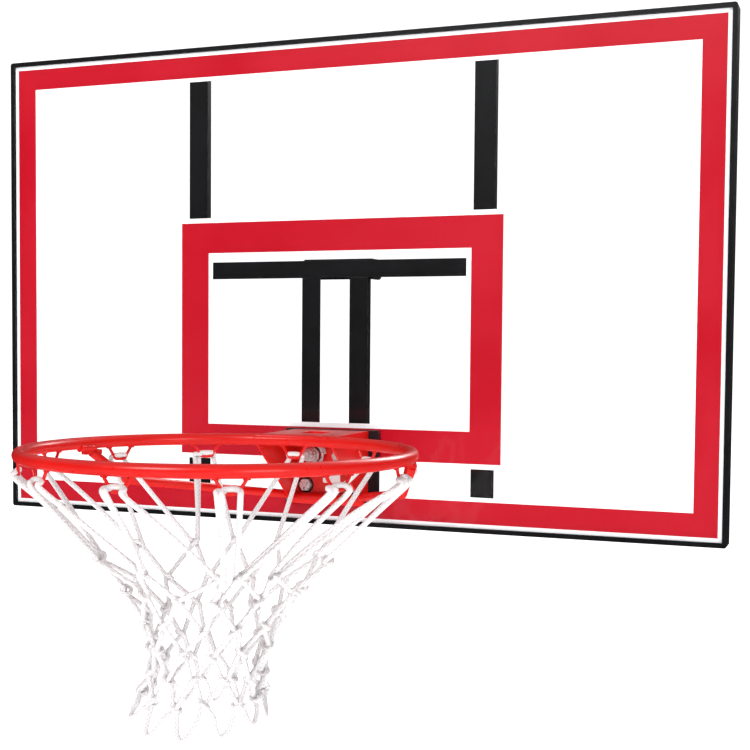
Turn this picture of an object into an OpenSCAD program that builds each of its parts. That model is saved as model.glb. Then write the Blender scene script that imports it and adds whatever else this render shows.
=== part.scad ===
// Basketball backboard with a breakaway rim and a net, for a pole with parallel arms.
// Made in the board's own place first: x = 0 is the middle, y = 0 is the front of the clear
// sheet, z = 0 is the lower edge. placed() then moves it to the bolt of the upper arms.

/* [Backboard] */
// Overall width of the backboard
board_w = 1118; // [950:1:1400]
// Overall height of the backboard
board_h = 711; // [590:1:900]
// Radius of the backboard's outer corners
corner_r = 4; // [1:0.5:6]
// Thickness of the clear sheet
sheet_t = 3.2; // [2:0.1:10]
// Thickness of each printed film on the back of the sheet
film_t = 0.25; // [0.2:0.05:0.5]

/* [Edge trim] */
// Width of the front lip over the sheet
lip_w = 6.5; // [4:0.5:12]
// Width of the rear lip over the frame rails
rear_lip_w = 12; // [10:0.5:20]
// Wall of the trim
trim_t = 1.5; // [1:0.1:3]

/* [Printed lines] */
// Clear strip between the trim and the border band
border_gap = 5.7; // [2:0.1:12]
// Width of the border band
border_band_w = 32; // [20:1:60]
// Width of the white line inside the border band
border_line_w = 6; // [3:0.5:12]
// Outer width of the target's band
target_w = 503.4; // [450:0.1:600]
// Outer height of the target's band
target_h = 350.3; // [300:0.1:420]
// Height of the target band's lower edge
target_z = 97.4; // [80:0.1:150]
// Width of the target's band
target_band_w = 45.8; // [30:0.1:60]
// Width of the white lines along the target's band
target_line_w = 7; // [3:0.5:12]

/* [Rear frame] */
// Side of the square rails
rail_w = 25; // [20:1:40]
// Wall of the frame tubes
tube_t = 1.5; // [1:0.1:3]
// Width of the uprights
upright_w = 31; // [20:1:45]
// Distance from the middle to an upright's inner face
upright_x = 208; // [150:1:260]
// Depth of the uprights, crossbar and centre bars
bar_d = 12; // [10:1:25]
// Height of the crossbar's middle
crossbar_z = 375.5; // [300:0.5:440]
// Height of the crossbar's section
crossbar_h = 25; // [20:1:40]
// Distance from the middle to a centre bar's inner edge
centre_bar_x = 23; // [15:1:40]
// Width of a centre bar's flange
centre_bar_w = 29; // [20:1:40]
// Thickness of the centre bars
centre_bar_t = 2.5; // [2:0.5:4]
// Diameter of the frame screws
screw_d = 5; // [3:0.5:6]

/* [Arm brackets] */
// Outer width over the ears
arm_bracket_w = 108; // [80:1:140]
// Height of the brackets
arm_bracket_h = 30; // [26:1:50]
// Plate thickness of the brackets
arm_plate_t = 4; // [3:0.5:6]
// Diameter of the arm bolt holes
arm_hole_d = 13.2; // [8:0.1:16]
// Distance of the arm bolt holes behind the sheet's front
arm_hole_y = 45; // [40:0.5:80]
// Height of the lower arm bolt's hole
lower_arm_z = 131; // [125:1:145]

/* [Rim mounting plate] */
// Width of the front plate
plate_w = 146; // [135:1:180]
// Height of the front plate
plate_h = 110; // [105:1:130]
// Height of the front plate's lower edge
plate_z = 31; // [27.5:0.5:40]
// Thickness of the front plate
plate_t = 5; // [4:0.5:8]
// Thickness of the rear plate
rear_plate_t = 6; // [4:0.5:10]
// Diameter of the mounting and spring bolts
bolt_d = 10; // [8:1:12]
// Width across flats of the bolts' heads and nuts
hex_w = 17; // [13:1:19]
// Distance from the middle to a mounting bolt
bolt_x = 39; // [34:0.5:43]
// Height of the mounting bolts
bolt_z = 58.5; // [56:0.5:66]

/* [Breakaway hinge] */
// Diameter of the hinge pin
pin_d = 8; // [6:0.5:10]
// Outer diameter of the hinge barrel
barrel_d = 16; // [14:0.5:20]
// Height of the hinge pin
hinge_z = 39; // [36:0.5:42]
// Gap between the barrel and the front plate
barrel_gap = 1; // [0.5:0.1:3]
// Thickness of the hinge ears
ear_t = 4; // [3:0.5:6]
// Side clearance between the rim bracket and each ear
ear_gap = 0.7; // [0.4:0.1:2]

/* [Springs] */
// Distance from the middle to a spring's axis
spring_x = 24; // [20:0.5:30]
// Height of the springs' axes
spring_z = 105; // [98:0.5:108]
// Length of the springs at rest
spring_len = 22; // [20:0.5:30]
// Thickness of the spring wire
spring_wire = 4.5; // [3:0.1:5]
// Outer diameter of a spring's wide end
spring_d = 37; // [28:0.5:38]
// Turns of a spring
spring_turns = 3; // [2.5:0.25:4]

/* [Rim bracket] */
// Outer width of the bracket
bracket_w = 115; // [108:1:120]
// Height of the bracket's top face
bracket_top_z = 140; // [137:0.5:141]
// Plate thickness of the bracket's front and top
bracket_t = 4; // [3:0.5:6]
// Thickness of the bracket's side gussets
gusset_t = 3; // [2:0.5:5]
// Gap between the bracket and the front plate
bracket_gap = 0.3; // [0.3:0.1:1]
// Diameter of the access holes in front of the mounting bolts
access_d = 25; // [22:0.5:26]

/* [Ring] */
// Inside diameter of the ring
ring_id = 457.2; // [380:0.1:560]
// Diameter of the ring's rod
ring_rod = 16; // [12:0.5:19]
// Gap between the sheet's front and the ring's inside
ring_gap = 152.4; // [140:0.1:190]
// Height of the ring's middle above the lower edge
ring_z = 134; // [128:0.5:140]

/* [Braces] */
// Diameter of the brace rods
brace_d = 12; // [8:0.5:14]
// Angle of a brace's weld on the ring, from the ring's side
brace_angle = 19; // [15:0.5:22]
// Height of a brace's bend
brace_bend_z = 81; // [70:1:95]
// Height of a brace's end at the bracket
brace_end_z = 46; // [42:1:60]

/* [Net] */
// Number of net hooks
hook_count = 12; // [8:1:16]
// Wire thickness of the hooks
hook_wire = 4; // [3:0.5:5]
// Width of a hook at the ring
hook_top_w = 34; // [24:1:40]
// Width of a hook at its lower end
hook_low_w = 20; // [10:1:24]
// Depth of the hooks below the ring
hook_drop = 18; // [15:1:30]
// Length of the net
net_len = 306; // [260:1:420]
// Thickness of the net's cord layer
net_t = 5; // [3:0.5:8]

/* [Hidden] */
$fn = 96;

// Clearances
edge_fit = 0.3;
bore_fit = 0.05;
bolt_fit = 0.5;
touch = 0.1;
net_fit = 1;
over = 1;

// Depths behind the sheet's front
film_y = sheet_t;
frame_y = sheet_t + film_t;
bar_back_y = frame_y + bar_d;
rail_back_y = frame_y + rail_w;
trim_back_y = rail_back_y + trim_t;
rear_plate_y = frame_y + rear_plate_t;

// Frame
rail_in = trim_t + rail_w;
rear_plate_w = plate_w - 6;
rear_plate_top = plate_z + plate_h + 5;
screw_head_d = 2 * screw_d - 1;
screw_head_t = screw_d / 2;
screw_in = trim_t + rear_lip_w / 2;

// Rim mounting plate and hinge
hinge_y = -plate_t - barrel_gap - barrel_d / 2;
ear_x = bracket_w / 2 + ear_gap;
head_t = 6.4;
nut_t = 8.4;
washer_t = 2;
washer_d = 20;
bolt_tail = 3;

// Rim bracket
bracket_back_y = -plate_t - bracket_gap;
bracket_front_y = bracket_back_y - bracket_t;
bracket_low_z = hinge_z + 5;
gusset_low_z = hinge_z - 1;
gusset_foot = 20;
slot_w = bolt_d + 4;
slot_rise = 3;
top_slot = [34, 40];
top_slot_y = -85;

// Springs
spring_y = bracket_front_y - touch;
spring_end_y = spring_y - spring_len;
spring_small_d = bolt_d + 2 * spring_wire + 1;
spring_washer_d = 20;
spring_rings = 28;
spring_sides = 12;
spring_flat = 0.5;

// Ring
ring_r = ring_id / 2 + ring_rod / 2;
ring_y = -ring_gap - ring_id / 2;
ring_under_z = ring_z - ring_rod / 2;

// Brace: weld tab under the ring, bend, end on the gusset's outer face
brace_top = [ring_r * cos(brace_angle), ring_y + ring_r * sin(brace_angle), ring_under_z - 5];
brace_foot = [bracket_w / 2 - over, bracket_front_y - gusset_foot - 3, brace_end_z];
bend_share = 0.165;
brace_bend = [
    brace_top.x + bend_share * (brace_foot.x - brace_top.x),
    brace_top.y + bend_share * (brace_foot.y - brace_top.y),
    brace_bend_z
];
tab = [10, 27, 5];

// Hooks, their ends sunk into the ring where they are welded
hook_weld = 2;
hook_low_z = ring_under_z - hook_drop + hook_wire / 2;
// Net: share of the ring's radius, share of the net's length
net_top_z = hook_low_z - hook_wire / 2 + over;
net_shape = [
    [0.99, 0], [0.80, 0.14], [0.66, 0.25], [0.554, 0.335], [0.435, 0.46],
    [0.363, 0.573], [0.33, 0.68], [0.33, 0.79], [0.347, 0.88], [0.372, 1]
];

// ---- Shared shapes ----

// Moves a piece from the board's place to the upper arm bolt
module placed() {
    translate([0, -arm_hole_y, -crossbar_z]) children();
}

// Stands a flat shape drawn in x and z up between two depths
module slab(y_front, y_back) {
    translate([0, y_back, 0]) rotate([90, 0, 0]) linear_extrude(y_back - y_front) children();
}

// Flat rectangle by its middle x, its low and high z and its width
module pane(w, z_low, z_high) {
    translate([-w / 2, z_low]) square([w, z_high - z_low]);
}

// Flat frame: an outer rectangle less a border of width band
module band(w, z_low, z_high, width) {
    difference() {
        pane(w, z_low, z_high);
        pane(w - 2 * width, z_low + width, z_high - width);
    }
}

// Backboard outline with round corners, inset by a distance
module outline(inset, r) {
    w = board_w - 2 * inset;
    h = board_h - 2 * inset;
    translate([0, inset]) {
        pane(w - 2 * r, 0, h);
        pane(w, r, h - r);
        for (x = [-1, 1], z = [r, h - r]) translate([x * (w / 2 - r), z]) circle(r);
    }
}

// Bar of one side of a mitred frame, its outer edge on z = 0 and its depth towards -z
module mitred(len, outer, inner, y_front, y_back, past = 0) {
    slab(y_front, y_back) polygon([
        [-len / 2 + outer - past, -outer], [len / 2 - outer + past, -outer],
        [len / 2 - inner + past, -inner], [-len / 2 + inner - past, -inner]
    ]);
}

// Puts a side of a mitred frame, drawn as the top side, onto a side of the board
module on_side(side) {
    if (side == "top") translate([0, 0, board_h]) children();
    if (side == "bottom") mirror([0, 0, 1]) children();
    if (side == "left") translate([-board_w / 2, 0, board_h / 2]) rotate([0, -90, 0]) children();
    if (side == "right") translate([board_w / 2, 0, board_h / 2]) rotate([0, 90, 0]) children();
}

function side_len(side) = side == "top" || side == "bottom" ? board_w : board_h;

// Screw places along a side, as distances from its middle
function screw_places(side) = let(reach = side_len(side) / 2 - 60, n = side_len(side) == board_w ? 4 : 2)
    [for (i = [0 : n]) reach * (2 * i / n - 1)];

// Round bar along y
module rod_y(d, y_front, y_back) {
    translate([0, y_back, 0]) rotate([90, 0, 0]) cylinder(d = d, h = y_back - y_front);
}

// Hexagon bar along y
module hex_y(y_front, y_back) {
    translate([0, y_back, 0]) rotate([90, 0, 0])
        cylinder(d = hex_w / cos(30), h = y_back - y_front, $fn = 6);
}

// Both places of a pair of bolts
module at_pair(x, z) {
    for (side = [-1, 1]) translate([side * x, 0, z]) children();
}

// Round rod from one point to another
module rod_between(a, b, d) {
    v = b - a;
    translate(a) rotate([0, acos(v.z / norm(v)), atan2(v.y, v.x)]) cylinder(d = d, h = norm(v));
}

// Holes of the four bolts, wide enough for the bolts to pass
module bolt_holes(y_front, y_back) {
    for (p = [[bolt_x, bolt_z], [spring_x, spring_z]])
        at_pair(p[0], p[1]) rod_y(bolt_d + 2 * bolt_fit, y_front - over, y_back + over);
}

module ring_solid() {
    translate([0, ring_y, ring_z]) rotate_extrude() translate([ring_r, 0]) circle(d = ring_rod);
}

// ---- Backboard ----

module board_sheet() {
    color([0.92, 0.95, 0.97, 0.3]) placed() difference() {
        slab(0, sheet_t) outline(trim_t + edge_fit, corner_r - trim_t / 2);
        bolt_holes(0, sheet_t);
    }
}

// Printed film of one frame of the board's or the target's lines
module film() {
    placed() slab(film_y, frame_y) children();
}

module border_band() {
    inset = lip_w + border_gap;
    color("crimson") film() band(board_w - 2 * inset, inset, board_h - inset, border_band_w);
}

module border_lines() {
    outer = lip_w;
    inner = lip_w + border_gap + border_band_w;
    color("white") film() {
        band(board_w - 2 * outer, outer, board_h - outer, border_gap);
        band(board_w - 2 * inner, inner, board_h - inner, border_line_w);
    }
}

module target_band() {
    color("crimson") placed() difference() {
        slab(film_y, frame_y) band(target_w, target_z, target_z + target_h, target_band_w);
        bolt_holes(film_y, frame_y);
    }
}

module target_lines() {
    color("white") film() {
        band(target_w + 2 * target_line_w, target_z - target_line_w,
             target_z + target_h + target_line_w, target_line_w);
        band(target_w - 2 * target_band_w, target_z + target_band_w,
             target_z + target_h - target_band_w, target_line_w);
    }
}

// C-shaped strip that clamps the sheet to the rail
module trim(side) {
    len = side_len(side);
    color([0.04, 0.04, 0.04]) placed() difference() {
        intersection() {
            on_side(side) {
                mitred(len, 0, lip_w, -trim_t, 0);
                mitred(len, 0, trim_t, 0, rail_back_y);
                mitred(len, 0, rear_lip_w, rail_back_y, trim_back_y);
            }
            slab(-trim_t, trim_back_y) outline(0, corner_r);
        }
        on_side(side) screw_holes(side);
    }
}

module trim_top() trim("top");
module trim_bottom() trim("bottom");
module trim_left() trim("left");
module trim_right() trim("right");

// ---- Rear frame ----

module screw_holes(side) {
    for (x = screw_places(side)) translate([x, 0, -screw_in])
        rod_y(screw_d, rail_back_y - 2 * tube_t, trim_back_y + over);
}

// Square tube of one side of the frame
module rail(side) {
    len = side_len(side);
    color([0.06, 0.06, 0.06]) placed() difference() {
        on_side(side) mitred(len, trim_t, rail_in, frame_y, rail_back_y);
        on_side(side) mitred(len, trim_t + tube_t, rail_in - tube_t,
                             frame_y + tube_t, rail_back_y - tube_t, over);
        on_side(side) screw_holes(side);
    }
}

module rail_top() rail("top");
module rail_bottom() rail("bottom");
module rail_left() rail("left");
module rail_right() rail("right");

module frame_screws() {
    color("dimgray") placed() for (side = ["top", "bottom", "left", "right"])
        on_side(side) for (x = screw_places(side)) translate([x, 0, -screw_in]) {
            rod_y(screw_d, rail_back_y - 2 * tube_t, trim_back_y);
            rod_y(screw_head_d, trim_back_y, trim_back_y + screw_head_t);
        }
}

// Flat tube between two depths, open at its two ends along z
module upright(side) {
    mid = side * (upright_x + upright_w / 2);
    color([0.06, 0.06, 0.06]) placed() translate([mid, 0, 0]) difference() {
        slab(frame_y, bar_back_y) pane(upright_w, rail_in, board_h - rail_in);
        slab(frame_y + tube_t, bar_back_y - tube_t)
            pane(upright_w - 2 * tube_t, rail_in - over, board_h - rail_in + over);
    }
}

module upright_left() upright(-1);
module upright_right() upright(1);

module crossbar() {
    low = crossbar_z - crossbar_h / 2;
    color([0.06, 0.06, 0.06]) placed() difference() {
        slab(frame_y, bar_back_y) pane(2 * upright_x, low, low + crossbar_h);
        slab(frame_y + tube_t, bar_back_y - tube_t)
            pane(2 * upright_x + 2 * over, low + tube_t, low + crossbar_h - tube_t);
    }
}

// Angle bar from the rear plate up to the crossbar, its leg on the outer edge
module centre_bar(side) {
    low = rear_plate_top;
    high = crossbar_z - crossbar_h / 2;
    mid = side * (centre_bar_x + centre_bar_w / 2);
    leg = side * (centre_bar_x + centre_bar_w - centre_bar_t / 2);
    color([0.06, 0.06, 0.06]) placed() {
        translate([mid, 0, 0]) slab(frame_y, frame_y + centre_bar_t) pane(centre_bar_w, low, high);
        translate([leg, 0, 0]) slab(frame_y, bar_back_y) pane(centre_bar_t, low, high);
    }
}

module centre_bar_left() centre_bar(-1);
module centre_bar_right() centre_bar(1);

// U-shaped bracket for a pair of pole arms, its base on depth base_y
module arm_bracket(base_y, z) {
    ear_x = arm_bracket_w / 2 - arm_plate_t;
    color([0.06, 0.06, 0.06]) placed() translate([0, 0, z]) difference() {
        union() {
            slab(base_y, base_y + arm_plate_t) pane(arm_bracket_w, -arm_bracket_h / 2, arm_bracket_h / 2);
            for (side = [-1, 1]) translate([side * (ear_x + arm_plate_t / 2), 0, 0]) {
                slab(base_y, arm_hole_y) pane(arm_plate_t, -arm_bracket_h / 2, arm_bracket_h / 2);
                translate([-arm_plate_t / 2, arm_hole_y, 0]) rotate([0, 90, 0])
                    cylinder(d = arm_bracket_h, h = arm_plate_t);
            }
        }
        translate([-arm_bracket_w / 2 - over, arm_hole_y, 0]) rotate([0, 90, 0])
            cylinder(d = arm_hole_d, h = arm_bracket_w + 2 * over);
    }
}

module upper_arm_bracket() arm_bracket(bar_back_y, crossbar_z);
module lower_arm_bracket() arm_bracket(rear_plate_y, lower_arm_z);

module rear_plate() {
    color([0.06, 0.06, 0.06]) placed() difference() {
        slab(frame_y, rear_plate_y) pane(rear_plate_w, rail_in, rear_plate_top);
        bolt_holes(frame_y, rear_plate_y);
    }
}

// ---- Rim mounting ----

// Plate on the sheet's front, with an ear for the hinge pin on each side
module front_plate() {
    color([0.05, 0.05, 0.06]) placed() difference() {
        union() {
            slab(-plate_t, 0) pane(plate_w, plate_z, plate_z + plate_h);
            for (side = [-1, 1]) translate([side * (ear_x + ear_t / 2), 0, 0]) {
                slab(hinge_y, -plate_t / 2) pane(ear_t, hinge_z - barrel_d / 2, hinge_z + barrel_d / 2);
                translate([-ear_t / 2, hinge_y, hinge_z]) rotate([0, 90, 0])
                    cylinder(d = barrel_d, h = ear_t);
            }
        }
        bolt_holes(-plate_t, 0);
        hinge_bore(plate_w);
    }
}

module hinge_bore(len) {
    translate([-len / 2, hinge_y, hinge_z]) rotate([0, 90, 0])
        cylinder(d = pin_d + 2 * bore_fit, h = len);
}

module mounting_bolts() {
    color("silver") placed() at_pair(bolt_x, bolt_z) {
        hex_y(-plate_t - washer_t - head_t, -plate_t - washer_t);
        rod_y(bolt_d, -plate_t - washer_t - over, rear_plate_y + nut_t + bolt_tail);
    }
}

// Washer on a bolt between two depths
module washer(d, y_front, y_back) {
    difference() {
        rod_y(d, y_front, y_back);
        rod_y(bolt_d, y_front - over, y_back + over);
    }
}

// Hexagon nut on a bolt between two depths
module nut(y_front, y_back) {
    difference() {
        hex_y(y_front, y_back);
        rod_y(bolt_d, y_front - over, y_back + over);
    }
}

module mounting_washers() {
    color("gainsboro") placed() at_pair(bolt_x, bolt_z)
        washer(washer_d, -plate_t - washer_t, -plate_t);
}

module mounting_nuts() {
    color("silver") placed() at_pair(bolt_x, bolt_z) nut(rear_plate_y, rear_plate_y + nut_t);
}

module spring_bolts() {
    color("silver") placed() at_pair(spring_x, spring_z) {
        hex_y(rear_plate_y, rear_plate_y + head_t);
        rod_y(bolt_d, spring_end_y - washer_t - nut_t - bolt_tail, rear_plate_y + over);
    }
}

module spring_washers() {
    color("gainsboro") placed() at_pair(spring_x, spring_z)
        washer(spring_washer_d, spring_end_y - washer_t, spring_end_y);
}

module spring_nuts() {
    color("silver") placed() at_pair(spring_x, spring_z)
        nut(spring_end_y - washer_t - nut_t, spring_end_y - washer_t);
}

// Share of the way along the spring at turn n, with a flat turn part at each end
function coil_share(n) =
    min(1, max(0, (n - spring_flat) / (spring_turns - 2 * spring_flat)));

// Middle of the wire at turn n, round the y axis
function coil_radius(n) =
    (spring_d + (spring_small_d - spring_d) * coil_share(n) - spring_wire) / 2;
function coil_depth(n) =
    -spring_wire / 2 - (spring_len - spring_wire) * coil_share(n);

// Conical compression spring as one swept wire
module spring(side) {
    steps = ceil(spring_turns * spring_rings);
    points = [
        for (i = [0 : steps], k = [0 : spring_sides - 1])
            let(n = i * spring_turns / steps, a = 360 * n, b = 360 * k / spring_sides,
                r = coil_radius(n) + spring_wire / 2 * cos(b))
            [r * cos(a), coil_depth(n) + spring_wire / 2 * sin(b), r * sin(a)]
    ];
    sides = [
        for (i = [0 : steps - 1], k = [0 : spring_sides - 1])
            let(m = (k + 1) % spring_sides, p = i * spring_sides, q = p + spring_sides)
            [p + k, p + m, q + m, q + k]
    ];
    first = [for (k = [spring_sides - 1 : -1 : 0]) k];
    last = [for (k = [0 : spring_sides - 1]) steps * spring_sides + k];
    color("lightgray") placed() translate([side * spring_x, spring_y, spring_z])
        polyhedron(points = points, faces = concat([first], sides, [last]));
}

module spring_left() spring(-1);
module spring_right() spring(1);

module hinge_pin() {
    tip = ear_x + ear_t;
    color("silver") placed() translate([0, hinge_y, hinge_z]) rotate([0, 90, 0]) {
        translate([0, 0, -tip - 3]) cylinder(d = pin_d + 5, h = 3);
        translate([0, 0, -tip - over]) cylinder(d = pin_d, h = 2 * tip + over + 4);
    }
}

module hinge_clip() {
    tip = ear_x + ear_t;
    color("silver") placed() translate([tip, hinge_y, hinge_z]) rotate([0, 90, 0]) difference() {
        cylinder(d = pin_d + 6, h = 1.5);
        translate([0, 0, -over]) cylinder(d = pin_d, h = 1.5 + 2 * over);
    }
}

// ---- Rim ----

// Side of the bracket between the plate and the ring, drawn in y and z
module gusset(side) {
    x = side * (bracket_w / 2 - gusset_t / 2) - gusset_t / 2;
    foot_y = bracket_front_y - gusset_foot;
    translate([x, 0, 0]) rotate([90, 0, 90]) linear_extrude(gusset_t) polygon([
        [bracket_back_y, gusset_low_z], [foot_y, gusset_low_z],
        [-ring_gap + ring_rod / 2, ring_under_z], [-ring_gap - ring_rod, ring_under_z],
        [-ring_gap - ring_rod, bracket_top_z], [bracket_back_y, bracket_top_z]
    ]);
}

module rim_bracket() {
    color([0.85, 0.12, 0.08]) placed() difference() {
        union() {
            slab(bracket_front_y, bracket_back_y) pane(bracket_w, bracket_low_z, bracket_top_z);
            slab(-ring_gap - ring_rod, bracket_back_y)
                pane(bracket_w, bracket_top_z - bracket_t, bracket_top_z);
            gusset(-1);
            gusset(1);
            translate([-bracket_w / 2, hinge_y, hinge_z]) rotate([0, 90, 0])
                cylinder(d = barrel_d, h = bracket_w);
        }
        hinge_bore(bracket_w + 2 * over);
        at_pair(bolt_x, bolt_z) rod_y(access_d, bracket_front_y - over, bracket_back_y + over);
        at_pair(spring_x, spring_z) for (rise = [-slot_rise, slot_rise])
            translate([0, 0, rise]) rod_y(slot_w, bracket_front_y - over, bracket_back_y + over);
        at_pair(spring_x, spring_z) translate([0, 0, -slot_rise])
            slab(bracket_front_y - over, bracket_back_y + over) pane(slot_w, 0, 2 * slot_rise);
        slab(top_slot_y, top_slot_y + top_slot.y)
            pane(top_slot.x, bracket_top_z - bracket_t - over, bracket_top_z + over);
        ring_solid();
        translate([0, ring_y, 0]) cylinder(r = ring_r, h = 2 * ring_z);
    }
}

module ring() {
    color([0.9, 0.14, 0.08]) placed() ring_solid();
}

// Bent rod that props the ring's side from the foot of the bracket
module brace(side) {
    color([0.9, 0.14, 0.08]) placed() mirror([side < 0 ? 1 : 0, 0, 0]) difference() {
        union() {
            rod_between(brace_top, brace_bend, brace_d);
            translate(brace_bend) sphere(d = brace_d + touch);
            rod_between(brace_bend, brace_foot, brace_d);
            translate([0, ring_y, brace_top.z]) rotate([0, 0, brace_angle])
                translate([ring_r - tab.x / 2, -tab.y / 2, -tab.z / 2]) cube([tab.x, tab.y, tab.z + over]);
        }
        ring_solid();
        translate([-bracket_w / 2, -ring_gap, 0]) cube([bracket_w, ring_gap, ring_z]);
    }
}

module brace_left() brace(-1);
module brace_right() brace(1);

// Bent wire under the ring that holds one loop of the net
module hook() {
    top = [hook_top_w / 2, ring_under_z + hook_weld];
    low = [hook_low_w / 2, hook_low_z];
    for (side = [-1, 1]) {
        rod_between([0, side * top.x, top.y], [0, side * low.x, low.y], hook_wire);
        translate([0, side * low.x, low.y]) sphere(d = hook_wire + touch);
    }
    rod_between([0, -low.x, low.y], [0, low.x, low.y], hook_wire);
}

module net_hooks() {
    color([0.9, 0.14, 0.08]) placed() translate([0, ring_y, 0])
        for (i = [0 : hook_count - 1]) rotate([0, 0, 360 * i / hook_count])
            translate([ring_r, 0, 0]) hook();
}

// Outer shape of the hanging net, open at the top and the bottom and clear of the braces
module net() {
    outer = [for (p = net_shape) [p[0] * ring_r, net_top_z - p[1] * net_len]];
    inner = [for (i = [len(outer) - 1 : -1 : 0]) [outer[i][0] - net_t, outer[i][1]]];
    color("whitesmoke") placed() difference() {
        translate([0, ring_y, 0]) rotate_extrude() polygon(concat(outer, inner));
        for (side = [0, 1]) mirror([side, 0, 0]) {
            rod_between(brace_top, brace_bend, brace_d + 2 * net_fit);
            translate(brace_bend) sphere(d = brace_d + 2 * net_fit + touch);
            rod_between(brace_bend, brace_foot, brace_d + 2 * net_fit);
        }
    }
}

board_sheet();
border_band();
border_lines();
target_band();
target_lines();
trim_top();
trim_bottom();
trim_left();
trim_right();
rail_top();
rail_bottom();
rail_left();
rail_right();
frame_screws();
upright_left();
upright_right();
crossbar();
centre_bar_left();
centre_bar_right();
upper_arm_bracket();
lower_arm_bracket();
rear_plate();
front_plate();
mounting_bolts();
mounting_washers();
mounting_nuts();
spring_bolts();
spring_washers();
spring_nuts();
spring_left();
spring_right();
hinge_pin();
hinge_clip();
rim_bracket();
ring();
brace_left();
brace_right();
net_hooks();
net();
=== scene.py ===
import math
import random

import bmesh
import bpy
from mathutils import Matrix, Vector


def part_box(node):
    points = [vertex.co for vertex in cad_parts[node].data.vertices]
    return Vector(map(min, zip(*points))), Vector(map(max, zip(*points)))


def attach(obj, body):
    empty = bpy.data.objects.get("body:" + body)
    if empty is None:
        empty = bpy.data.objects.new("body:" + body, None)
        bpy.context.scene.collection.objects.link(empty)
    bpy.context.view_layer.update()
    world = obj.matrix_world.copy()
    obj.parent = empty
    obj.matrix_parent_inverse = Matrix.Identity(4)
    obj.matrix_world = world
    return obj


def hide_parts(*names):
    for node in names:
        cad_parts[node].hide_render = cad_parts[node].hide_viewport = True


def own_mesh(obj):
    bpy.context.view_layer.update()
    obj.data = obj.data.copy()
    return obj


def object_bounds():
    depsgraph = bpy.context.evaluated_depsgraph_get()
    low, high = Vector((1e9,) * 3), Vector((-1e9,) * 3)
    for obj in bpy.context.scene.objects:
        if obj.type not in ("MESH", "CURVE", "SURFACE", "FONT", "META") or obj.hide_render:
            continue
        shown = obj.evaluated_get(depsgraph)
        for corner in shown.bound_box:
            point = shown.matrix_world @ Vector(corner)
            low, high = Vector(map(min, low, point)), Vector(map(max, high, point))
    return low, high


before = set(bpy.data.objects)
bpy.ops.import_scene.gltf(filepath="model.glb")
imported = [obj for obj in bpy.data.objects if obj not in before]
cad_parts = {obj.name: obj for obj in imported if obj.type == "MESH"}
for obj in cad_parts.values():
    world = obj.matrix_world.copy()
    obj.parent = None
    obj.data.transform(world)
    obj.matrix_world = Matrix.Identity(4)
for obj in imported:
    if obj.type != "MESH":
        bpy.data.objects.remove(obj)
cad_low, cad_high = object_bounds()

random.seed(12)
X, Y, Z = Vector((1, 0, 0)), Vector((0, 1, 0)), Vector((0, 0, 1))

# ---- Places, worked out from the frame ----

sheet_low, sheet_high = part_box("board_sheet")
ring_low, ring_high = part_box("ring")
plate_low, plate_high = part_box("front_plate")
bracket_low, bracket_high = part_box("rim_bracket")
hooks_low, hooks_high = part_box("net_hooks")
net_low, net_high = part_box("net")
board_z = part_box("trim_bottom")[0][2]

# The inks lie this far behind the sheet, so that the two faces don't meet in one plane
FILM_GAP = 0.00006
rod_r = (ring_high[2] - ring_low[2]) / 2
ring_r = (ring_high[0] - ring_low[0]) / 2 - rod_r
ring_mid = Vector((0, (ring_low[1] + ring_high[1]) / 2, ring_low[2] + rod_r))
hook_wire_r = 0.002
hook_step = math.radians(30)
cord_r = 0.0033

# ---- Camera ----


def add_camera():
    data = bpy.data.cameras.new("camera")
    data.sensor_width = 36
    data.lens = 66.412
    data.shift_x = 0.0922
    data.shift_y = 0.0473
    data.clip_end = 100
    camera = bpy.data.objects.new("camera", data)
    camera.location = (0.74815, -1.92912, -0.10323)
    camera.rotation_euler = [math.radians(a) for a in (87.0593, -0.3093, 22.802)]
    bpy.context.scene.collection.objects.link(camera)
    bpy.context.scene.camera = camera


add_camera()

# ---- Materials ----


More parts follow.
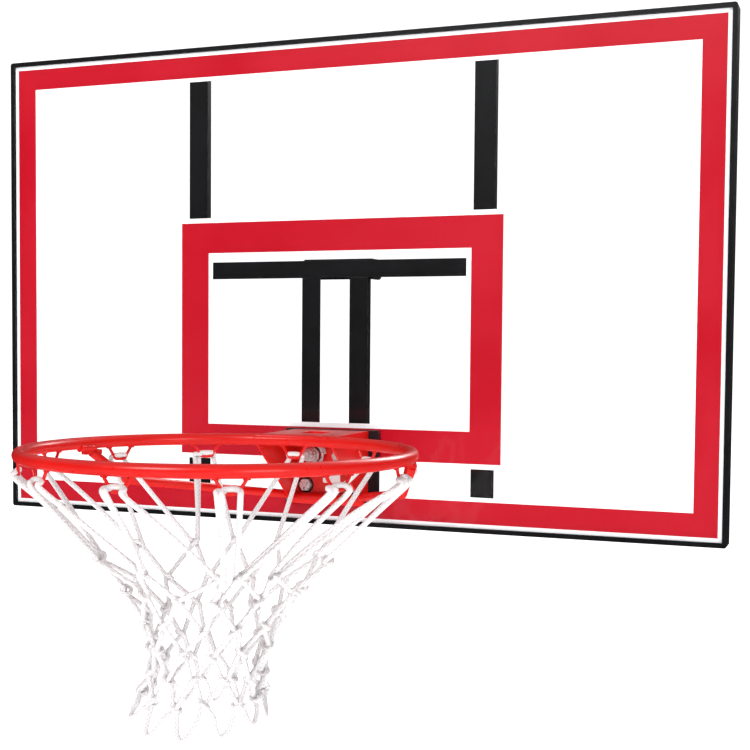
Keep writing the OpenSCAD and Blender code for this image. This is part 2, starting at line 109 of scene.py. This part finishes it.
class Finish:
    """A material with its nodes: one Principled shader and what feeds it."""

    def __init__(self, name, roughness=0.5, metallic=0.0, coat=0.0):
        self.material = bpy.data.materials.new(name)
        self.material.use_nodes = True
        self.tree = self.material.node_tree
        self.shader = self.tree.nodes["Principled BSDF"]
        self.shader.inputs["Roughness"].default_value = roughness
        self.shader.inputs["Metallic"].default_value = metallic
        self.shader.inputs["Coat Weight"].default_value = coat
        self.normal = None

    def node(self, kind, **inputs):
        made = self.tree.nodes.new(kind)
        for name, value in inputs.items():
            self.feed(made, name.replace("_", " "), value)
        return made

    def feed(self, node, name, value):
        if isinstance(value, bpy.types.NodeSocket):
            self.tree.links.new(value, node.inputs[name])
        else:
            node.inputs[name].default_value = value

    def place(self, stretch=(1, 1, 1), turn=(0, 0, 0)):
        """Object coordinates, stretched and turned."""
        mapping = self.node("ShaderNodeMapping", Scale=stretch, Rotation=turn)
        coords = self.node("ShaderNodeTexCoord")
        self.feed(mapping, "Vector", coords.outputs["Object"])
        return mapping.outputs["Vector"]

    def noise(self, scale, detail=3.0, place=None):
        made = self.node("ShaderNodeTexNoise", Scale=scale, Detail=detail)
        self.feed(made, "Vector", place or self.place())
        return made.outputs["Fac"]

    def speckle(self, scale, place=None):
        made = self.node("ShaderNodeTexVoronoi", Scale=scale)
        self.feed(made, "Vector", place or self.place())
        return made.outputs["Distance"]

    def span(self, value, low, high, start=0.3, stop=0.7):
        """Turns a value into a number between low and high."""
        made = self.node("ShaderNodeMapRange")
        for name, number in (("From Min", start), ("From Max", stop), ("To Min", low), ("To Max", high)):
            made.inputs[name].default_value = number
        self.feed(made, "Value", value)
        return made.outputs["Result"]

    def blend(self, share, first, second):
        """Mixes two colours by a share."""
        made = self.node("ShaderNodeMix")
        made.data_type = "RGBA"
        self.feed(made, "Factor", share)
        for socket, value in ((made.inputs[6], first), (made.inputs[7], second)):
            if isinstance(value, bpy.types.NodeSocket):
                self.tree.links.new(value, socket)
            else:
                socket.default_value = (*value, 1)
        return made.outputs[2]

    def math(self, operation, first, second=0.0):
        made = self.tree.nodes.new("ShaderNodeMath")
        made.operation = operation
        for socket, value in zip(made.inputs, (first, second)):
            if isinstance(value, bpy.types.NodeSocket):
                self.tree.links.new(value, socket)
            else:
                socket.default_value = value
        return made.outputs["Value"]

    def attribute(self, name):
        made = self.tree.nodes.new("ShaderNodeAttribute")
        made.attribute_name = name
        return made.outputs["Fac"]

    def relief(self, height, depth, strength=1.0):
        """Adds a height in metres to the surface's bump."""
        made = self.node("ShaderNodeBump", Height=height, Distance=depth, Strength=strength)
        if self.normal:
            self.feed(made, "Normal", self.normal)
        self.normal = made.outputs["Normal"]
        self.feed(self.shader, "Normal", self.normal)

    def colour(self, value):
        self.feed(self.shader, "Base Color", value if isinstance(value, bpy.types.NodeSocket) else (*value, 1))

    def rough(self, value):
        self.feed(self.shader, "Roughness", value)


def clear_sheet_finish():
    """Clear polycarbonate: lets the light through and shines at a glancing angle, with faint wipe marks."""
    finish = Finish("clear_polycarbonate")
    tree = finish.tree
    tree.nodes.remove(finish.shader)
    clear = finish.node("ShaderNodeBsdfTransparent", Color=(0.985, 0.99, 0.992, 1))
    gloss = finish.node("ShaderNodeBsdfGlossy", Color=(1, 1, 1, 1))
    wipes = finish.noise(9, 5, finish.place((1, 1, 0.25)))
    finish.feed(gloss, "Roughness", finish.span(wipes, 0.03, 0.09))
    scuffs = finish.noise(60, 2, finish.place((0.15, 1, 1), (0, 0.5, 0)))
    bump = finish.node("ShaderNodeBump", Height=scuffs, Distance=0.00002, Strength=0.4)
    finish.feed(gloss, "Normal", bump.outputs["Normal"])
    tilt = finish.node("ShaderNodeLayerWeight", Blend=0.5).outputs["Facing"]
    glancing = finish.math("MULTIPLY", finish.math("POWER", tilt, 5.0), 0.45)
    share = finish.math("ADD", glancing, 0.010)
    mix = finish.node("ShaderNodeMixShader", Fac=share)
    tree.links.new(clear.outputs["BSDF"], mix.inputs[1])
    tree.links.new(gloss.outputs["BSDF"], mix.inputs[2])
    tree.links.new(mix.outputs["Shader"], tree.nodes["Material Output"].inputs["Surface"])
    return finish.material


def print_finish(name, deep, light, roughness):
    """Screen-printed ink: even, with soft clouding and the fine grain of the screen."""
    finish = Finish(name, roughness)
    cloud = finish.noise(7, 4)
    grain = finish.noise(900, 1)
    share = finish.math("ADD", finish.span(cloud, 0, 0.8), finish.span(grain, 0, 0.2))
    finish.colour(finish.blend(share, deep, light))
    finish.rough(finish.span(cloud, roughness - 0.06, roughness + 0.08))
    finish.relief(grain, 0.00003, 0.5)
    return finish.material


def paint_finish(name, deep, light, worn, roughness, coat, edge_wear):
    """Paint on steel: orange peel, clouding, dust in the matt patches and rubbed edges."""
    finish = Finish(name, roughness, coat=coat)
    finish.shader.inputs["Coat Roughness"].default_value = 0.12
    cloud = finish.noise(14, 4)
    peel = finish.noise(260, 0)
    fine = finish.noise(160, 5)
    base = finish.blend(finish.span(cloud, 0, 1), deep, light)
    rubbed = finish.math("MULTIPLY", finish.attribute("edge"), finish.span(fine, 0, edge_wear, 0.45, 0.62))
    finish.colour(finish.blend(rubbed, base, worn))
    finish.rough(finish.span(fine, roughness - 0.05, roughness + 0.08))
    finish.relief(peel, 0.00005, 0.2)
    return finish.material


def zinc_finish():
    """Bright zinc plate: patchy shine, brushed grain and grey spots."""
    finish = Finish("zinc_plate", 0.35, metallic=0.7)
    spots = finish.noise(240, 4)
    grain = finish.noise(900, 2, finish.place((1, 0.08, 1)))
    finish.colour(finish.blend(finish.span(spots, 0, 1), (0.70, 0.70, 0.71), (0.90, 0.90, 0.90)))
    finish.rough(finish.span(spots, 0.2, 0.42))
    finish.relief(grain, 0.00006, 0.5)
    return finish.material


def screw_finish():
    """Blackened steel of the small screws, lighter in random spots."""
    finish = Finish("black_oxide", 0.4, metallic=0.9)
    spots = finish.noise(500, 3)
    finish.colour(finish.blend(finish.span(spots, 0, 1), (0.05, 0.05, 0.055), (0.16, 0.16, 0.17)))
    finish.rough(finish.span(spots, 0.3, 0.55))
    finish.relief(spots, 0.00008, 0.4)
    return finish.material


def cord_finish():
    """Braided white nylon cord: plaited strands that cross both ways round it, with a little soil; the grooves between
    the strands are painted darker as shade.
    """
    finish = Finish("braided_cord", 0.72)
    finish.shader.inputs["Sheen Weight"].default_value = 0.25
    finish.shader.inputs["Sheen Roughness"].default_value = 0.4
    coords = finish.node("ShaderNodeUVMap")
    coords.uv_map = "UVMap"
    parts = finish.node("ShaderNodeSeparateXYZ", Vector=coords.outputs["UV"])
    along = finish.math("MULTIPLY", parts.outputs["X"], 2 * math.pi / 0.005)
    around = finish.math("MULTIPLY", parts.outputs["Y"], 2 * math.pi * 4)
    one = finish.math("SINE", finish.math("ADD", along, around))
    other = finish.math("SINE", finish.math("SUBTRACT", along, around))
    plait = finish.math("MAXIMUM", one, other)
    fibres = finish.noise(2600, 2)
    soil = finish.noise(45, 4)
    # The cord's colour follows the plait's height: painted shade, darker in the grooves between the strands.
    groove_shaded_tone = finish.blend(finish.span(plait, 0, 1, -0.4, 1), (0.60, 0.575, 0.585), (0.76, 0.74, 0.745))
    grey = finish.blend(finish.span(soil, 0, 0.35, 0.5, 0.75), (1, 1, 1), (0.88, 0.84, 0.85))
    mix = finish.node("ShaderNodeMix")
    mix.data_type = "RGBA"
    mix.blend_type = "MULTIPLY"
    mix.inputs["Factor"].default_value = 1
    finish.tree.links.new(groove_shaded_tone, mix.inputs[6])
    finish.tree.links.new(grey, mix.inputs[7])
    finish.colour(mix.outputs[2])
    finish.relief(plait, 0.0004, 0.6)
    finish.relief(fibres, 0.0001, 0.3)
    return finish.material


def label_finish():
    """Plain vinyl label, faintly creased."""
    finish = Finish("plain_vinyl", 0.45)
    crease = finish.noise(70, 3)
    finish.colour(finish.blend(finish.span(crease, 0, 1), (0.72, 0.71, 0.70), (0.84, 0.83, 0.82)))
    finish.rough(finish.span(crease, 0.35, 0.55))
    finish.relief(crease, 0.0003, 0.5)
    return finish.material


CLEAR = clear_sheet_finish()
RED_INK = print_finish("red_ink", (0.43, 0.0015, 0.011), (0.48, 0.002, 0.015), 0.36)
WHITE_INK = print_finish("white_ink", (0.92, 0.92, 0.93), (0.97, 0.97, 0.98), 0.36)
RIM_PAINT = paint_finish("rim_paint", (0.55, 0.003, 0.0015), (0.63, 0.005, 0.0025), (0.30, 0.02, 0.015), 0.32, 0.12, 0.35)
BLACK_PAINT = paint_finish(
    "black_powder_coat", (0.0022, 0.0022, 0.0026), (0.0045, 0.0045, 0.0055), (0.05, 0.05, 0.05), 0.42, 0.0, 0.4)
PLATE_PAINT = paint_finish(
    "black_plate_paint", (0.0035, 0.0035, 0.005), (0.0065, 0.0065, 0.009), (0.07, 0.07, 0.07), 0.36, 0.1, 0.5)
TRIM_BLACK = paint_finish(
    "black_edge_trim", (0.0025, 0.0025, 0.003), (0.005, 0.005, 0.006), (0.05, 0.05, 0.05), 0.36, 0.1, 0.3)
for material, level in ((RED_INK, 0.25), (RIM_PAINT, 0.35), (BLACK_PAINT, 0.2), (PLATE_PAINT, 0.3), (TRIM_BLACK, 0.2)):
    material.node_tree.nodes["Principled BSDF"].inputs["Specular IOR Level"].default_value = level
ZINC = zinc_finish()
BLACK_OXIDE = screw_finish()
CORD = cord_finish()
VINYL = label_finish()

# ---- Making pieces ----


def piece(name, mesh, material, body, smooth_angle=40):
    """Puts a finished mesh into the scene and lets it ride on a body."""
    made = bpy.data.objects.new(name, mesh)
    bpy.context.scene.collection.objects.link(made)
    mesh.materials.clear()
    mesh.materials.append(material)
    mesh.shade_smooth()
    if smooth_angle:
        mesh.set_sharp_from_angle(angle=math.radians(smooth_angle))
    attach(made, body)
    return made


def to_mesh(bm, name):
    mesh = bpy.data.meshes.new(name)
    bm.to_mesh(mesh)
    bm.free()
    return mesh


def even_normals(made):
    """Keeps large flat faces flat in the shading beside their rounded edges."""
    modifier = made.modifiers.new("even_normals", "WEIGHTED_NORMAL")
    modifier.keep_sharp = True
    modifier.weight = 100


def soften_edges(bm, radius, sharp=32):
    """Bevels each crease of a closed mesh and marks the new faces for the paint's edge wear."""
    edge_mark = bm.faces.layers.float.new("edge")
    creases = [e for e in bm.edges if len(e.link_faces) == 2 and e.calc_face_angle(0) > math.radians(sharp)]
    result = bmesh.ops.bevel(
        bm, geom=creases, offset=radius, offset_type="OFFSET", segments=2, profile=0.5,
        affect="EDGES", material=-1, clamp_overlap=True,
    )
    for face in result["faces"]:
        face[edge_mark] = 1.0


def rounded_node(node, radius, material, body):
    """Stands for a CAD node with the same shape, its sharp edges rounded."""
    bm = bmesh.new()
    bm.from_mesh(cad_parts[node].data)
    bmesh.ops.remove_doubles(bm, verts=bm.verts, dist=0.00001)
    bmesh.ops.dissolve_limit(bm, angle_limit=math.radians(0.4), verts=bm.verts, edges=bm.edges)
    if radius:
        soften_edges(bm, radius)
    made = piece(node + "_finished", to_mesh(bm, node + "_finished"), material, body)
    even_normals(made)
    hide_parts(node)
    return made


def smooth_route(points, steps):
    """Points along a smooth curve through the given ones."""
    ends = [2 * points[0] - points[1], *points, 2 * points[-1] - points[-2]]
    route = []
    for a, b, c, d in zip(ends, ends[1:], ends[2:], ends[3:]):
        for i in range(steps):
            t = i / steps
            route.append(0.5 * (2 * b + (c - a) * t + (2 * a - 5 * b + 4 * c - d) * t ** 2
                                + (3 * b - a - 3 * c + d) * t ** 3))
    return route + [points[-1]]


def wire_mesh(routes, radius, name, sides=3, closed=False):
    """Round wires along routes, one mesh, its UV map in metres along and in turns around."""
    joined = bmesh.new()
    for route, width in routes:
        data = bpy.data.curves.new("route", "CURVE")
        data.dimensions = "3D"
        data.bevel_depth = radius
        data.bevel_resolution = sides
        data.use_fill_caps = not closed
        spline = data.splines.new("POLY")
        spline.points.add(len(route) - 1)
        spline.use_cyclic_u = closed
        for point, place in zip(spline.points, route):
            point.co = (*place, 1)
            point.radius = width
        holder = bpy.data.objects.new("route", data)
        mesh = bpy.data.meshes.new_from_object(holder)
        length = sum((b - a).length for a, b in zip(route, route[1:]))
        if mesh.uv_layers:
            for corner in mesh.uv_layers[0].data:
                corner.uv = (corner.uv[0] * length, corner.uv[1])
            mesh.uv_layers[0].name = "UVMap"
        joined.from_mesh(mesh)
        bpy.data.objects.remove(holder)
        bpy.data.curves.remove(data)
        bpy.data.meshes.remove(mesh)
    return to_mesh(joined, name)


def lathe(profile, axis, start, steps=48):
    """Spins a profile of (distance from the axis, place along it) round an axis through start."""
    bm = bmesh.new()
    side = axis.orthogonal().normalized()
    verts = [bm.verts.new(start + side * r + axis * h) for r, h in profile]
    edges = [bm.edges.new(pair) for pair in zip(verts, verts[1:])]
    bmesh.ops.spin(bm, geom=verts + edges, cent=start, axis=axis, angle=2 * math.pi, steps=steps, use_merge=True)
    bmesh.ops.remove_doubles(bm, verts=bm.verts, dist=0.000001)
    bmesh.ops.recalc_face_normals(bm, faces=bm.faces)
    return bm


def join(*parts):
    """Joins bmeshes into one."""
    whole = bmesh.new()
    for part in parts:
        mesh = bpy.data.meshes.new("part")
        part.to_mesh(mesh)
        part.free()
        whole.from_mesh(mesh)
        bpy.data.meshes.remove(mesh)
    return whole


def bead(route, radius, name, body):
    """Weld bead along a route, made of overlapping ripples."""
    swell = [(p, 0) for p in route]
    points = smooth_route(route, 8)
    data = bpy.data.curves.new("bead", "CURVE")
    data.dimensions = "3D"
    data.bevel_depth = radius
    data.bevel_resolution = 2
    data.use_fill_caps = True
    spline = data.splines.new("POLY")
    spline.points.add(len(points) - 1)
    for i, (point, place) in enumerate(zip(spline.points, points)):
        point.co = (*place, 1)
        point.radius = (0.85 + 0.25 * abs(math.sin(i * 0.9))) * random.uniform(0.92, 1.08)
    holder = bpy.data.objects.new("bead", data)
    mesh = bpy.data.meshes.new_from_object(holder)
    bpy.data.objects.remove(holder)
    bpy.data.curves.remove(data)
    mesh.name = name
    return piece(name, mesh, RIM_PAINT, body, 0)


# ---- Backboard ----


def finish_board():
    sheet = rounded_node("board_sheet", 0.0004, CLEAR, "backboard")
    for vertex in sheet.data.vertices:
        if vertex.co.y > sheet_high[1] - 0.001:
            vertex.co.y -= FILM_GAP
    for film in ("border", "target"):
        rounded_node(film + "_band", 0, RED_INK, "backboard")
        rounded_node(film + "_lines", 0, WHITE_INK, "backboard")
    for side in ("top", "bottom", "left", "right"):
        rounded_node("trim_" + side, 0.0005, TRIM_BLACK, "backboard")
        rounded_node("rail_" + side, 0.0008, BLACK_PAINT, "backboard")
    for node in ("upright_left", "upright_right", "crossbar", "centre_bar_left", "centre_bar_right",
                 "upper_arm_bracket", "lower_arm_bracket", "rear_plate"):
        rounded_node(node, 0.0006, BLACK_PAINT, "backboard")
    rounded_node("front_plate", 0.0006, PLATE_PAINT, "backboard")


finish_board()


def hex_piece(node, chamfer, body="backboard"):
    """Bolts and nuts with their corners chamfered."""
    rounded_node(node, chamfer, ZINC, body)


for node in ("mounting_bolts", "mounting_nuts", "spring_bolts", "spring_nuts"):
    hex_piece(node, 0.0007)
for node in ("spring_washers", "hinge_pin", "hinge_clip"):
    hex_piece(node, 0.0003)
# The mounting washers take the black screw finish so that they stand for the dark hole round each bolt head: painted
# shade.
washers_black_as_hole_shade = rounded_node("mounting_washers", 0.0003, BLACK_OXIDE, "backboard")
rounded_node("frame_screws", 0.0006, BLACK_OXIDE, "backboard")

# ---- Springs ----

spring_wire = 0.00225
spring_turns = 3
spring_flat = 0.5


def spring(node):
    """Conical spring, wide at the bracket."""
    low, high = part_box(node)
    washer_low, washer_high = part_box("spring_washers")
    middle = Vector(((low[0] + high[0]) / 2, 0, (washer_low[2] + washer_high[2]) / 2))
    wide = (high[0] - low[0]) / 2 - spring_wire
    small = 0.005 + spring_wire + 0.0007
    length = high[1] - low[1] - 2 * spring_wire
    route = []
    steps = 32 * spring_turns
    for i in range(steps + 1):
        turn = i * spring_turns / steps
        share = min(1, max(0, (turn - spring_flat) / (spring_turns - 2 * spring_flat)))
        r = wide + (small - wide) * share
        angle = 2 * math.pi * turn
        route.append(Vector((middle.x + r * math.cos(angle), high[1] - spring_wire - length * share,
                             middle.z + r * math.sin(angle))))
    made = piece(node + "_coil", wire_mesh([(route, 1)], spring_wire, node, 4), ZINC, "backboard", 60)
    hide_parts(node)
    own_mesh(made)
    return made


spring("spring_left")
spring("spring_right")

# ---- Ring, bracket and braces ----


def ring_point(angle, out=0.0, up=0.0):
    """Point by the ring's rod: angle from the front towards +x, distance out from the rod's middle."""
    r = ring_r + out
    return ring_mid + Vector((r * math.sin(angle), -r * math.cos(angle), up))


def make_ring():
    route = [ring_point(2 * math.pi * i / 240) for i in range(240)]
    mesh = wire_mesh([(route, 1)], rod_r, "ring_rod", 6, closed=True)
    made = piece("ring_rod", mesh, RIM_PAINT, "rim", 0)
    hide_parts("ring")


make_ring()
rounded_node("rim_bracket", 0.0007, RIM_PAINT, "rim")


def make_braces():
    """Bent rods from the ring's sides to the foot of the bracket, with the heavy weld that joins each to the ring."""
    for side, node in ((-1, "brace_left"), (1, "brace_right")):
        rounded_node(node, 0.0006, RIM_PAINT, "rim")
        low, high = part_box(node)
        outer = high[0] if side > 0 else low[0]
        reach = math.asin(min(1, (abs(outer) - ring_mid.x) / (ring_r + rod_r)))
        middle = side * (math.pi - reach) - side * math.radians(1.5)
        for name, out, up, radius in (("inner", -0.75, -0.72, 0.0040), ("under", -0.15, -1.0, 0.0034)):
            run = [ring_point(middle + math.radians(d), out * rod_r, up * rod_r) for d in (-3.2, -1.1, 1.1, 3.2)]
            bead(run, radius, f"{node}_weld_{name}", "rim")


make_braces()


def make_hooks():
    """Twelve bent wires under the ring."""
    low = hooks_low[2] + hook_wire_r
    top = ring_mid.z - rod_r + 0.001
    routes = []
    for i in range(12):
        angle = i * hook_step
        along = Vector((math.cos(angle), math.sin(angle), 0))
        foot = ring_point(angle, 0, low - ring_mid.z)
        shape = [(-0.0170, top), (-0.0150, top - 0.004), (-0.0105, low + 0.0060), (-0.0075, low + 0.0012), (-0.004, low),
                 (0.004, low), (0.0075, low + 0.0012), (0.0105, low + 0.0060), (0.0150, top - 0.004), (0.0170, top)]
        points = [foot + along * s + Z * (z - low) for s, z in shape]
        routes.append((smooth_route(points, 5), 1))
    made = piece("hook_wires", wire_mesh(routes, hook_wire_r, "hook_wires", 3), RIM_PAINT, "rim", 0)
    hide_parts("net_hooks")
    for i in range(12):
        angle = i * hook_step
        for s in (-1, 1):
            middle = angle + s * 0.0168 / ring_r
            run = [ring_point(middle + d, 0, -rod_r + 0.0002) for d in (-0.017, -0.006, 0.006, 0.017)]
            bead(run, 0.0019, f"hook_weld_{i}_{'a' if s < 0 else 'b'}", "rim")


make_hooks()


def make_bracket_welds():
    half = bracket_high[0] - 0.001
    angles = [math.pi + math.asin(half / ring_r) * t for t in (-1, -0.6, -0.2, 0.2, 0.6, 1)]
    run = [ring_point(a, -rod_r * 0.72, rod_r * 0.60) for a in angles]
    bead(run, 0.0026, "top_plate_weld", "rim")


make_bracket_welds()

# ---- Label ----


def make_label():
    """Small blank label on the bracket's front plate."""
    width, height, thick, corner = 0.027, 0.013, 0.0003, 0.002
    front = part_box("board_sheet")[0][1] - 0.0093
    bm = bmesh.new()
    bmesh.ops.create_grid(bm, x_segments=1, y_segments=1, size=0.5)
    bmesh.ops.scale(bm, vec=(width, height, 1), verts=bm.verts)
    bmesh.ops.bevel(bm, geom=bm.verts[:], offset=corner, offset_type="OFFSET", segments=5, profile=0.5,
                    affect="VERTICES", material=-1)
    lid = bmesh.ops.extrude_face_region(bm, geom=bm.faces[:])
    bmesh.ops.translate(bm, vec=(0, 0, thick), verts=[v for v in lid["geom"] if isinstance(v, bmesh.types.BMVert)])
    bmesh.ops.recalc_face_normals(bm, faces=bm.faces)
    bmesh.ops.rotate(bm, cent=(0, 0, 0), matrix=Matrix.Rotation(math.radians(90), 3, "X"), verts=bm.verts)
    bmesh.ops.translate(bm, vec=(0.002, front, board_z + 0.069), verts=bm.verts)
    piece("bracket_label", to_mesh(bm, "bracket_label"), VINYL, "rim")


make_label()

# ---- Net ----

# Height over the board's lower edge and radius of each row of knots, from the top
NET_ROWS = [(0.006, 0.138), (-0.032, 0.106), (-0.066, 0.082), (-0.098, 0.073), (-0.131, 0.069), (-0.159, 0.074)]
ROWS = len(NET_ROWS)
LOOP_LOW, LOOP_R = -0.194, 0.085
# The net hangs a little aside, most at its lower end
NET_LEAN = Vector((-0.0285, -0.012, 0))
NET_TOP = hooks_low[2] - board_z
# How far some knots of the first row have slid round, in degrees
SLID = {0: 13, 1: -9, 2: -18, 3: 6, 5: 8, 7: -5, 9: 7, 10: -8, 11: 3}
# How much higher or lower some loops of the foot end
LOOP_LIFT = {0: -0.004, 1: 0.002, 2: 0.010, 3: 0.008, 9: 0.009, 10: 0.012, 11: -0.002}
# Hooks whose left or right leg of cord lies double
DOUBLED = {(0, -1), (1, -1), (2, -1), (3, -1), (7, 1), (10, -1)}


def net_point(angle, r, z):
    """Point on the net: z is the height over the board's lower edge."""
    depth = (NET_TOP - z) / 0.33
    return Vector((ring_mid.x + r * math.sin(angle), ring_mid.y - r * math.cos(angle), board_z + z)) + NET_LEAN * depth ** 3


class Knot:
    """A crossing of the net: where it is, and which ways are round, up and out."""

    def __init__(self, row, i):
        z, r = NET_ROWS[row]
        shift = 0.5 if row % 2 == 0 else 0.0
        slide = SLID.get(i, 0) * (1 if row == 0 else 0.3 / row)
        self.angle = math.radians(30 * (i + shift) + slide + random.uniform(-2.5, 2.5))
        self.z = z + random.uniform(-0.004, 0.004)
        self.r = r + random.uniform(-0.003, 0.003)
        self.round = Vector((math.cos(self.angle), math.sin(self.angle), 0))
        self.out = Vector((math.sin(self.angle), -math.cos(self.angle), 0))
        self.middle = net_point(self.angle, self.r, self.z)

    def pass_by(self, side, layer, up=0.0):
        """A strand's way past the knot, on one side of it, in front or behind, in cord radii."""
        return self.middle + (self.round * side * 0.85 + self.out * layer * 0.85 + Z * up) * cord_r

    def wrap(self):
        """The short turn of cord that ties the crossing."""
        hand = random.choice((-1, 1))
        points = []
        for step in range(15):
            a = 2 * math.pi * 1.12 * step / 14
            swing = self.round * hand * math.cos(a) * 1.5 + self.out * math.sin(a) * 1.8
            points.append(self.middle + (swing + Z * (1.2 * math.cos(a) + 0.6 * step / 14 - 0.3)) * cord_r)
        return points


knots = [[Knot(row, i) for i in range(12)] for row in range(ROWS)]


def bowed(start, stop, shares, bow):
    """Points between two places, pushed away from the net's axis."""
    points = []
    for share in shares:
        p = start.lerp(stop, share)
        away = Vector((p.x - ring_mid.x, p.y - ring_mid.y, 0)).normalized()
        points.append(p + away * bow * math.sin(math.pi * share))
    return points


def hung_loops():
    """The net's top loops: from a knot up over a hook's low wire and down to the next knot."""
    low_wire = hooks_low[2] + hook_wire_r
    for i in range(12):
        angle = i * hook_step
        along = Vector((math.cos(angle), math.sin(angle), 0))
        outward = Vector((math.sin(angle), -math.cos(angle), 0))
        seat = ring_point(angle, 0, low_wire - ring_mid.z) + Z * (hook_wire_r + cord_r * 0.95)
        half = random.uniform(0.0080, 0.0092)
        ends = {-1: knots[0][(i - 1) % 12].pass_by(1, 1), 1: knots[0][i].pass_by(-1, -1)}
        sides = {}
        for side in (-1, 1):
            corner = seat + along * side * half
            sides[side] = [
                corner - along * side * 0.0030,
                corner + along * side * 0.0016 + outward * 0.0036 - Z * 0.0022,
                corner + along * side * 0.0014 + outward * 0.0050 - Z * 0.0085,
            ]
            bow = random.uniform(-0.007, 0.005)
            sides[side] += bowed(sides[side][-1], ends[side], (0.3, 0.62), bow) + [ends[side]]
            if (i, side) in DOUBLED:
                beside = along * side * cord_r * 1.6 - outward * cord_r * 0.8
                twin = [sides[side][0] - Z * cord_r * 0.6] + [p + beside for p in sides[side][1:3]]
                last = ends[side] + Z * cord_r * 1.5 - beside * 0.3
                yield smooth_route(twin + bowed(twin[-1], last, (0.3, 0.62), bow - 0.002) + [last], 6), 0.95
        yield smooth_route(sides[-1][::-1] + sides[1], 6), 1.0


def crossing_strands():
    """The strands that run down the net both ways round and cross at each knot."""
    for i in range(12):
        for hand in (-1, 1):
            points = []
            place = i
            for row in range(ROWS):
                layer = 1 if (row + i + (hand > 0)) % 2 else -1
                knot = knots[row][place % 12]
                points += [knot.pass_by(-hand, layer, 0.8), knot.pass_by(hand, layer, -0.8)]
                if row % 2 == 0 and hand > 0:
                    place += 1
                if row % 2 == 1 and hand < 0:
                    place -= 1
            yield smooth_route(points, 7), random.uniform(0.92, 1.0)


def foot_loops():
    """The pointed open loops at the net's foot."""
    for i in range(12):
        left, right = knots[-1][i], knots[-1][(i + 1) % 12]
        turn = 2 * math.pi if i == 11 else 0
        middle = (left.angle + right.angle + turn) / 2 + math.radians(random.uniform(-5, 5))
        low = LOOP_LOW + LOOP_LIFT.get(i, 0) + random.uniform(-0.003, 0.003)
        out = LOOP_R + random.uniform(-0.004, 0.007)
        top_z, top_r = NET_ROWS[-1]
        points = [left.pass_by(1, 1, -0.8)]
        for side, drop in ((-1.35, 0.40), (-1.05, 0.68), (-0.62, 0.90), (0, 1.0), (0.62, 0.90), (1.05, 0.68), (1.35, 0.40)):
            r = top_r + (out - top_r) * drop
            points.append(net_point(middle + side * 0.0088 / r, r, top_z + (low - top_z) * drop))
        points.append(right.pass_by(-1, -1, -0.8))
        yield smooth_route(points, 6), 0.93


routes = [*hung_loops(), *crossing_strands(), *foot_loops()]
routes += [(smooth_route(knot.wrap(), 2), 0.88) for row in knots for knot in row]
net = piece("knotted_net", wire_mesh(routes, cord_r, "knotted_net", 2), CORD, "rim", 0)
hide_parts("net")

# ---- Floor and light ----


def add_floor():
    """Pale floor below the board and its net."""
    bm = bmesh.new()
    bmesh.ops.create_grid(bm, x_segments=1, y_segments=1, size=30)
    bmesh.ops.translate(bm, vec=(0, 0, cad_low[2] - 1.1), verts=bm.verts)
    floor = bpy.data.objects.new("floor", to_mesh(bm, "floor"))
    bpy.context.scene.collection.objects.link(floor)
    finish = Finish("pale_floor", 0.9)
    cloud = finish.noise(0.4, 2)
    finish.colour(finish.blend(finish.span(cloud, 0, 1), (0.90, 0.90, 0.90), (0.93, 0.93, 0.93)))
    finish.shader.inputs["Emission Color"].default_value = (1, 1, 1, 1)
    finish.shader.inputs["Emission Strength"].default_value = 1.0
    floor.data.materials.append(finish.material)
    floor.visible_glossy = False


def add_room():
    """White room: the walls show white, and light the part softly, more from above than from the sides."""
    world = bpy.data.worlds.new("white_room")
    world.use_nodes = True
    nodes, links = world.node_tree.nodes, world.node_tree.links
    shown = nodes["Background"]
    shown.inputs["Color"].default_value = (1, 1, 1, 1)
    shown.inputs["Strength"].default_value = 1.25
    lit = nodes.new("ShaderNodeBackground")
    coords = nodes.new("ShaderNodeTexCoord")
    parts = nodes.new("ShaderNodeSeparateXYZ")
    links.new(coords.outputs["Generated"], parts.inputs["Vector"])
    ramp = nodes.new("ShaderNodeMapRange")
    ramp.interpolation_type = "SMOOTHSTEP"
    for name, value in (("From Min", 0.12), ("From Max", 0.75), ("To Min", ROOM_SIDE), ("To Max", ROOM_TOP)):
        ramp.inputs[name].default_value = value
    links.new(parts.outputs["Z"], ramp.inputs["Value"])
    links.new(ramp.outputs["Result"], lit.inputs["Strength"])
    rays = nodes.new("ShaderNodeLightPath")
    mix = nodes.new("ShaderNodeMixShader")
    links.new(rays.outputs["Is Camera Ray"], mix.inputs["Fac"])
    links.new(lit.outputs["Background"], mix.inputs[1])
    links.new(shown.outputs["Background"], mix.inputs[2])
    links.new(mix.outputs["Shader"], nodes["World Output"].inputs["Surface"])
    bpy.context.scene.world = world
    bpy.context.scene.view_settings.view_transform = "Standard"


def add_light(name, place, aim, size, power):
    data = bpy.data.lights.new(name, "AREA")
    data.shape = "RECTANGLE"
    data.size, data.size_y = size
    data.energy = power
    lamp = bpy.data.objects.new(name, data)
    lamp.location = place
    lamp.rotation_euler = (Vector(aim) - Vector(place)).to_track_quat("-Z", "Y").to_euler()
    bpy.context.scene.collection.objects.link(lamp)


ROOM_SIDE, ROOM_TOP = 0.04, 0.7
add_floor()
add_room()
add_light("key_light", (-1.2, -7.0, 4.6), (0, -0.2, -0.1), (3.0, 2.0), 420)
add_light("fill_light", (5.2, -4.6, 0.4), (0, -0.2, -0.1), (2.5, 2.5), 130)
add_light("rear_light", (1.0, 5.0, 3.0), (0, 0, 0), (3.0, 2.0), 330)
